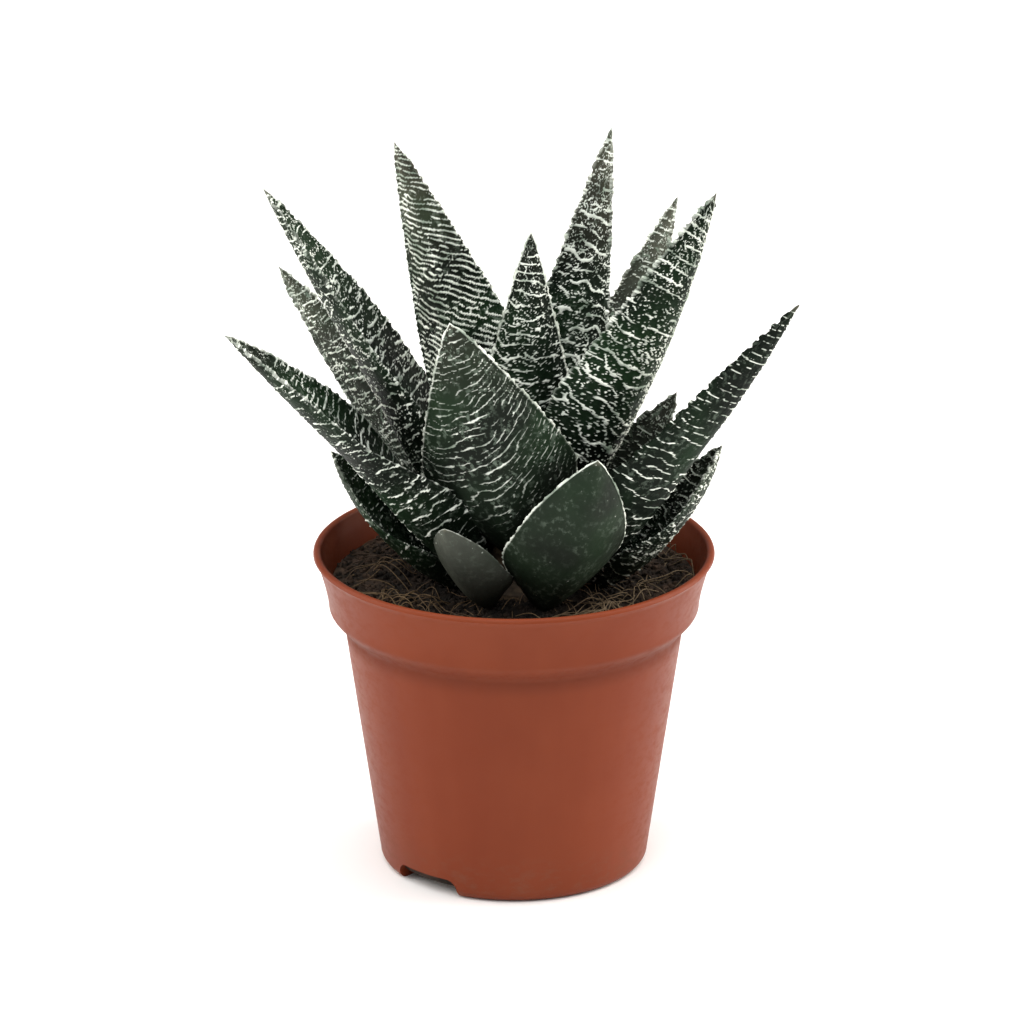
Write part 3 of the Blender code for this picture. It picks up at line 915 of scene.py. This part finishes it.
def soil_radius(context):
    """Radius of the peat at a height, a hair inside the pot's wall."""
    pot = context.scene.plant_pot
    outside = pot_outside(pot)[::-1]

    def at(z):
        return float(np.interp(z, outside[:, 1], outside[:, 0])) - pot.wall - 0.1 * MM

    return at


def strewn(g, given, instance, turn, size):
    """Place copies of an instance on the marked top of the peat."""
    on_top = {"Mesh": given["Geometry"], "Selection": g.stored("top").math("GREATER_THAN", 0.5),
              "Density": given["Density"], "Seed": given["Seed"]}
    spread = g.add(
        "GeometryNodeDistributePointsOnFaces", {"distribute_method": "RANDOM"}, on_top
    )
    placed = {"Points": spread, "Instance": instance, "Rotation": turn, "Scale": size}
    return g.add("GeometryNodeInstanceOnPoints", None, placed)


def scatter_tree():
    """Strew crumbs over the top of the peat."""
    g, given = geometry_graph("peat_litter", {"Density": 1.0, "Size": 0.9, "Seed": 3})
    grain = g.add("GeometryNodeMeshIcoSphere", None, {"Radius": 0.5 * MM, "Subdivisions": 1})
    turn = g.random((0, 0, 0), (math.tau, math.tau, math.tau), 5)
    size = g.scaled(g.random((0.35, 0.3, 0.25), (2.1, 1.5, 1.1), 8), given["Size"])
    return end_tree(g, strewn(g, given, grain, turn, size), given["Material"])


def fibre_tree():
    """Strew thin bent fibres over the top of the peat."""
    fields = {"Density": 1.0, "Length": 7.0, "Thickness": 0.16, "Curl": 3.0, "Lift": 1.0,
              "Reach": 24.0, "Floor": 0.0, "Seed": 3}
    g, given = geometry_graph("peat_fibres", fields)
    half = given["Length"] * (0.5 * MM)
    line = g.add(
        "GeometryNodeCurvePrimitiveLine", None,
        {"Start": g.vector(half * -1.0, 0.0, 0.0), "End": g.vector(half, 0.0, 0.0)},
    )
    strand = g.add("GeometryNodeResampleCurve", None, {"Curve": line, "Count": 13})
    turn = g.random((-0.1, -0.22, 0.0), (0.1, 0.22, math.tau), 11)
    shortest_longest = {2: 0.35, 3: 1.5, "Seed": 4}
    stretch = g.add("FunctionNodeRandomValue", {"data_type": "FLOAT"}, shortest_longest, 1)
    laid = strewn(g, given, strand, turn, stretch)
    whole = g.add("GeometryNodeRealizeInstances", None, {"Geometry": laid})
    share = g.add("GeometryNodeSplineParameter")
    arch = (share * math.pi).math("SINE") * given["Lift"]
    place = g.add("GeometryNodeInputPosition")
    waves = {"Vector": place, "Scale": 130.0, "Detail": 1.0}
    swirl = g.add("ShaderNodeTexNoise", None, waves, "Color")
    about_half = {0: swirl, 1: (0.5, 0.5, 0.46)}
    centred = g.add("ShaderNodeVectorMath", {"operation": "SUBTRACT"}, about_half)
    curled = g.scaled(centred, given["Curl"] * (2.0 * MM))
    lifted = g.add("ShaderNodeVectorMath", None, {0: curled, 1: g.vector(0.0, 0.0, arch * MM)})
    bent = g.add("GeometryNodeSetPosition", None, {"Geometry": whole, "Offset": lifted})
    x, y, z = g.parts(g.add("GeometryNodeInputPosition"))
    radius = (x * x + y * y).math("SQRT")
    limit = given["Reach"] * MM
    pull = radius.math("MINIMUM", limit) / radius.math("MAXIMUM", 0.1 * MM)
    kept = g.vector(x * pull, y * pull, z.math("MAXIMUM", given["Floor"] * MM))
    bent = g.add("GeometryNodeSetPosition", None, {"Geometry": bent, "Position": kept})
    ring = g.add("GeometryNodeCurvePrimitiveCircle", None,
                 {"Resolution": 4, "Radius": given["Thickness"] * (0.5 * MM)})
    tubes = g.add("GeometryNodeCurveToMesh", None,
                  {"Curve": bent, "Profile Curve": ring, "Fill Caps": True})
    return end_tree(g, tubes, given["Material"])


def soil_mesh(at):
    """A closed plug: dished top, wall and flat bottom; its top is marked."""
    rings, sides = 60, 200
    rim = SOIL_HIGH.z
    middle = SOIL_HIGH.z - 1.3 * MM
    radius = at(rim)
    shares = np.linspace(0, 1, rings + 1)[1:]
    turns = np.linspace(0, math.tau, sides, endpoint=False)
    heights = middle + (rim - middle) * shares**2
    bm = bmesh.new()
    mark = bm.verts.layers.float.new("top")
    hub = bm.verts.new((0, 0, middle))
    hub[mark] = 1.0
    loops = []
    for share, height in zip(shares, heights):
        loop = []
        for a in turns:
            v = bm.verts.new((share * radius * math.cos(a), share * radius * math.sin(a), height))
            v[mark] = 1.0 if share < 0.995 else 0.0
            loop.append(v)
        loops.append(loop)
    for z in np.linspace(rim, SOIL_LOW.z, 14)[1:]:
        loops.append([bm.verts.new((at(z) * math.cos(a), at(z) * math.sin(a), z)) for a in turns])
    for k in range(sides):
        bm.faces.new((hub, loops[0][k], loops[0][(k + 1) % sides]))
    for a, b in zip(loops, loops[1:]):
        for k in range(sides):
            n = (k + 1) % sides
            bm.faces.new((a[k], b[k], b[n], a[n]))
    bm.faces.new(loops[-1][::-1])
    bmesh.ops.recalc_face_normals(bm, faces=bm.faces)
    mesh = bpy.data.meshes.new("soil_plug")
    bm.to_mesh(mesh)
    bm.free()
    return mesh


def lump_tree():
    """Raise lumps and pits in the marked top."""
    fields = {"Relief": 0.9, "Mound": 1.6, "Spread": 12.0, "Centre X": 0.0, "Centre Y": 0.0}
    g, given = geometry_graph("peat_lumps", fields)
    top = g.stored("top")
    place = g.add("GeometryNodeInputPosition")
    coarse = g.noise(place, 160.0, 3.0, 0.6) - 0.5
    fine = g.noise(place, 620.0, 3.0, 0.7) - 0.5
    x, y, _ = g.parts(place)
    away = g.vector(x - given["Centre X"] * MM, y - given["Centre Y"] * MM, 0.0)
    reach = g.add("ShaderNodeVectorMath", {"operation": "LENGTH"}, {0: away}, "Value") / MM
    mound = reach.between(given["Spread"] * 0.35, given["Spread"], 1.0, 0.0) * given["Mound"]
    rise = ((coarse * 1.6 + fine * 0.9) * given["Relief"] + mound) * top * MM
    moved = g.add("GeometryNodeSetPosition", None,
                  {"Geometry": given["Geometry"], "Offset": g.vector(0.0, 0.0, rise)})
    return end_tree(g, moved, given["Material"])


class PLANT_OT_soil(bpy.types.Operator):
    """Fill the pot with lumpy peat and strew crumbs and fibres on it"""

    bl_idname = "plant.make_soil"
    bl_label = "Peat"

    def execute(self, context):
        look = context.scene.plant_soil
        peat = peat_material("peat_body", look, 0.35)
        plug = grown("peat", soil_mesh(soil_radius(context)), lump_tree(),
                     {"Relief": look.relief / MM, "Mound": look.mound / MM, "Spread": 13.0,
                      "Centre X": (STEM_LOW.x + STEM_HIGH.x) / 2 / MM,
                      "Centre Y": (STEM_LOW.y + STEM_HIGH.y) / 2 / MM, "Material": peat})
        settle(plug, "peat", "peat_soil")
        crumbs = grown("peat_crumbs", plug.data.copy(), scatter_tree(), {
            "Density": look.crumbs * PER_SQUARE_CM, "Size": 0.9, "Seed": 3,
            "Material": peat_material("peat_crumb", look, 0.9)})
        settle(crumbs, "peat")
        fibres = grown("peat_fibres", plug.data.copy(), fibre_tree(), {
            "Density": look.fibres * PER_SQUARE_CM, "Length": 7.0, "Thickness": 0.15, "Curl": 3.2,
            "Lift": 1.1, "Reach": soil_radius(context)(SOIL_HIGH.z) / MM - 0.25,
            "Floor": SOIL_HIGH.z / MM - 2.6, "Seed": 9, "Material": fibre_material(look)})
        settle(fibres, "peat")
        return {"FINISHED"}


class PLANT_OT_rootstock(bpy.types.Operator):
    """Give the stem and its roots a fibrous skin"""

    bl_idname = "plant.finish_rootstock"
    bl_label = "Rootstock"

    def execute(self, context):
        made, g, shader = new_material("root_bark", 0.8, 0.3)
        place = object_place(g)
        x, y, z = g.parts(place)
        rings = g.noise(g.vector(x * 300.0, y * 300.0, z * 900.0), 1.0, 4.0)
        spots = g.noise(place, 700.0, 4.0, 0.6)
        colour = g.mix(rings.between(0.35, 0.65), ROOT_BROWN, ROOT_TAN)
        colour = g.mix(spots.between(0.55, 0.7) * 0.6, colour, ROOT_SPOT)
        wire(g, colour, shader, "Base Color")
        wire(g, spots * 0.2 + 0.65, shader, "Roughness")
        bumped(g, shader, rings + spots * 0.5, 0.6, 0.2 * MM)
        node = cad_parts["rootstock"]
        for slot in node.material_slots:
            slot.material = made
        return {"FINISHED"}


class StageLook(bpy.types.PropertyGroup):
    """Camera, floor and lights."""

    distance: bpy.props.FloatProperty(
        name="Distance", description="Camera to the plant", default=1.4, unit="LENGTH"
    )
    elevation: bpy.props.FloatProperty(
        name="Elevation", description="Camera above the horizon",
        default=math.radians(20.5), subtype="ANGLE",
    )
    aim: bpy.props.FloatVectorProperty(
        name="Aim", description="The point at the middle of the view",
        default=(-0.27 * MM, 0.0, 50.3 * MM), subtype="XYZ", unit="LENGTH", size=3,
    )
    focal: bpy.props.FloatProperty(
        name="Focal length", description="In millimetres on a 36 mm film", default=360.0
    )
    floor_tone: bpy.props.FloatVectorProperty(
        name="Floor", description="The pale floor",
        default=(0.93, 0.93, 0.93), subtype="COLOR", size=3,
    )
    floor_reach: bpy.props.FloatProperty(
        name="Floor reach", description="From the plant to the floor's edge",
        default=10.0, unit="LENGTH",
    )
    overhead: bpy.props.FloatProperty(
        name="Overhead", description="Strength of the soft light from above", default=2.3
    )
    sky: bpy.props.FloatProperty(
        name="Fill", description="Strength of the light from all round", default=0.35
    )


def area_light(name, place, aim, size, power, colour=(1.0, 1.0, 1.0)):
    """A soft rectangular light that faces aim."""
    data = bpy.data.lights.new(name, "AREA")
    data.shape = "RECTANGLE"
    data.size, data.size_y = size
    data.energy = power
    data.color = colour
    lamp = bpy.data.objects.new(name, data)
    lamp.location = place
    lamp.rotation_euler = (Vector(aim) - Vector(place)).to_track_quat("-Z", "Y").to_euler()
    bpy.context.scene.collection.objects.link(lamp)


class PLANT_OT_stage(bpy.types.Operator):
    """Set up the floor, the soft lights and the camera"""

    bl_idname = "plant.make_stage"
    bl_label = "Stage"

    def execute(self, context):
        look = context.scene.plant_stage
        scene = context.scene
        made, g, shader = new_material("pale_floor", 0.9, 0.2)
        shader.inputs["Base Color"].default_value = (*look.floor_tone, 1.0)
        bm = bmesh.new()
        bmesh.ops.create_grid(bm, x_segments=2, y_segments=2, size=look.floor_reach)
        floor = mesh_object("floor", bm, made)
        world = bpy.data.worlds.new("soft_room")
        world.use_nodes = True
        air = world.node_tree.nodes["Background"]
        air.inputs["Color"].default_value = (1.0, 1.0, 1.0, 1.0)
        g = Graph(world.node_tree)
        seen = g.add("ShaderNodeLightPath", None, None, "Is Camera Ray")
        wire(g, seen * (1.0 - look.sky) + look.sky, air, "Strength")
        scene.world = world
        scene.view_settings.view_transform = "Standard"
        middle, warm = (0.0, 0.0, 50.0 * MM), (1.0, 0.94, 0.87)
        area_light("side_right", (0.55, 0.10, 0.30), middle, (0.5, 0.6), 4.6, warm)
        area_light("side_left", (-0.55, 0.05, 0.32), middle, (0.5, 0.6), 3.0, warm)
        area_light("front_soft", (-0.2, -0.8, 0.9), middle, (0.6, 0.6), 2.8)
        data = bpy.data.lights.new("overhead", "SUN")
        data.energy = look.overhead
        data.angle = math.radians(80)
        lamp = bpy.data.objects.new("overhead", data)
        scene.collection.objects.link(lamp)
        reach = Vector((0.0, -math.cos(look.elevation), math.sin(look.elevation))) * look.distance
        data = bpy.data.cameras.new("camera")
        data.lens = look.focal
        data.sensor_width = 36.0
        data.clip_end = 2 * look.floor_reach
        camera = bpy.data.objects.new("camera", data)
        camera.location = Vector(look.aim) + reach
        camera.rotation_euler = (-reach).to_track_quat("-Z", "Y").to_euler()
        scene.collection.objects.link(camera)
        scene.camera = camera
        return {"FINISHED"}


class PLANT_PT_panel(bpy.types.Panel):
    """Lists the steps that dress the plant"""

    bl_label = "Potted haworthia"
    bl_idname = "PLANT_PT_panel"
    bl_space_type = "VIEW_3D"
    bl_region_type = "UI"
    bl_category = "Plant"

    def draw(self, context):
        for step in STEPS:
            self.layout.operator(step.bl_idname, text=step.bl_label)


STEPS = (PLANT_OT_pot, PLANT_OT_soil, PLANT_OT_rootstock, PLANT_OT_leaves, PLANT_OT_stage)
LOOKS = {
    "plant_pot": PotLook,
    "plant_soil": SoilLook,
    "plant_leaf": LeafLook,
    "plant_stage": StageLook,
}


def register():
    for name, kind in LOOKS.items():
        bpy.utils.register_class(kind)
        setattr(bpy.types.Scene, name, bpy.props.PointerProperty(type=kind))
    for kind in (*STEPS, PLANT_PT_panel):
        bpy.utils.register_class(kind)


def unregister():
    for kind in (PLANT_PT_panel, *STEPS):
        bpy.utils.unregister_class(kind)
    for name, kind in LOOKS.items():
        delattr(bpy.types.Scene, name)
        bpy.utils.unregister_class(kind)


def main():
    register()
    bpy.ops.plant.make_pot()
    bpy.ops.plant.make_soil()
    bpy.ops.plant.finish_rootstock()
    bpy.ops.plant.make_leaves()
    bpy.ops.plant.make_stage()


if __name__ == "__main__":
    main()
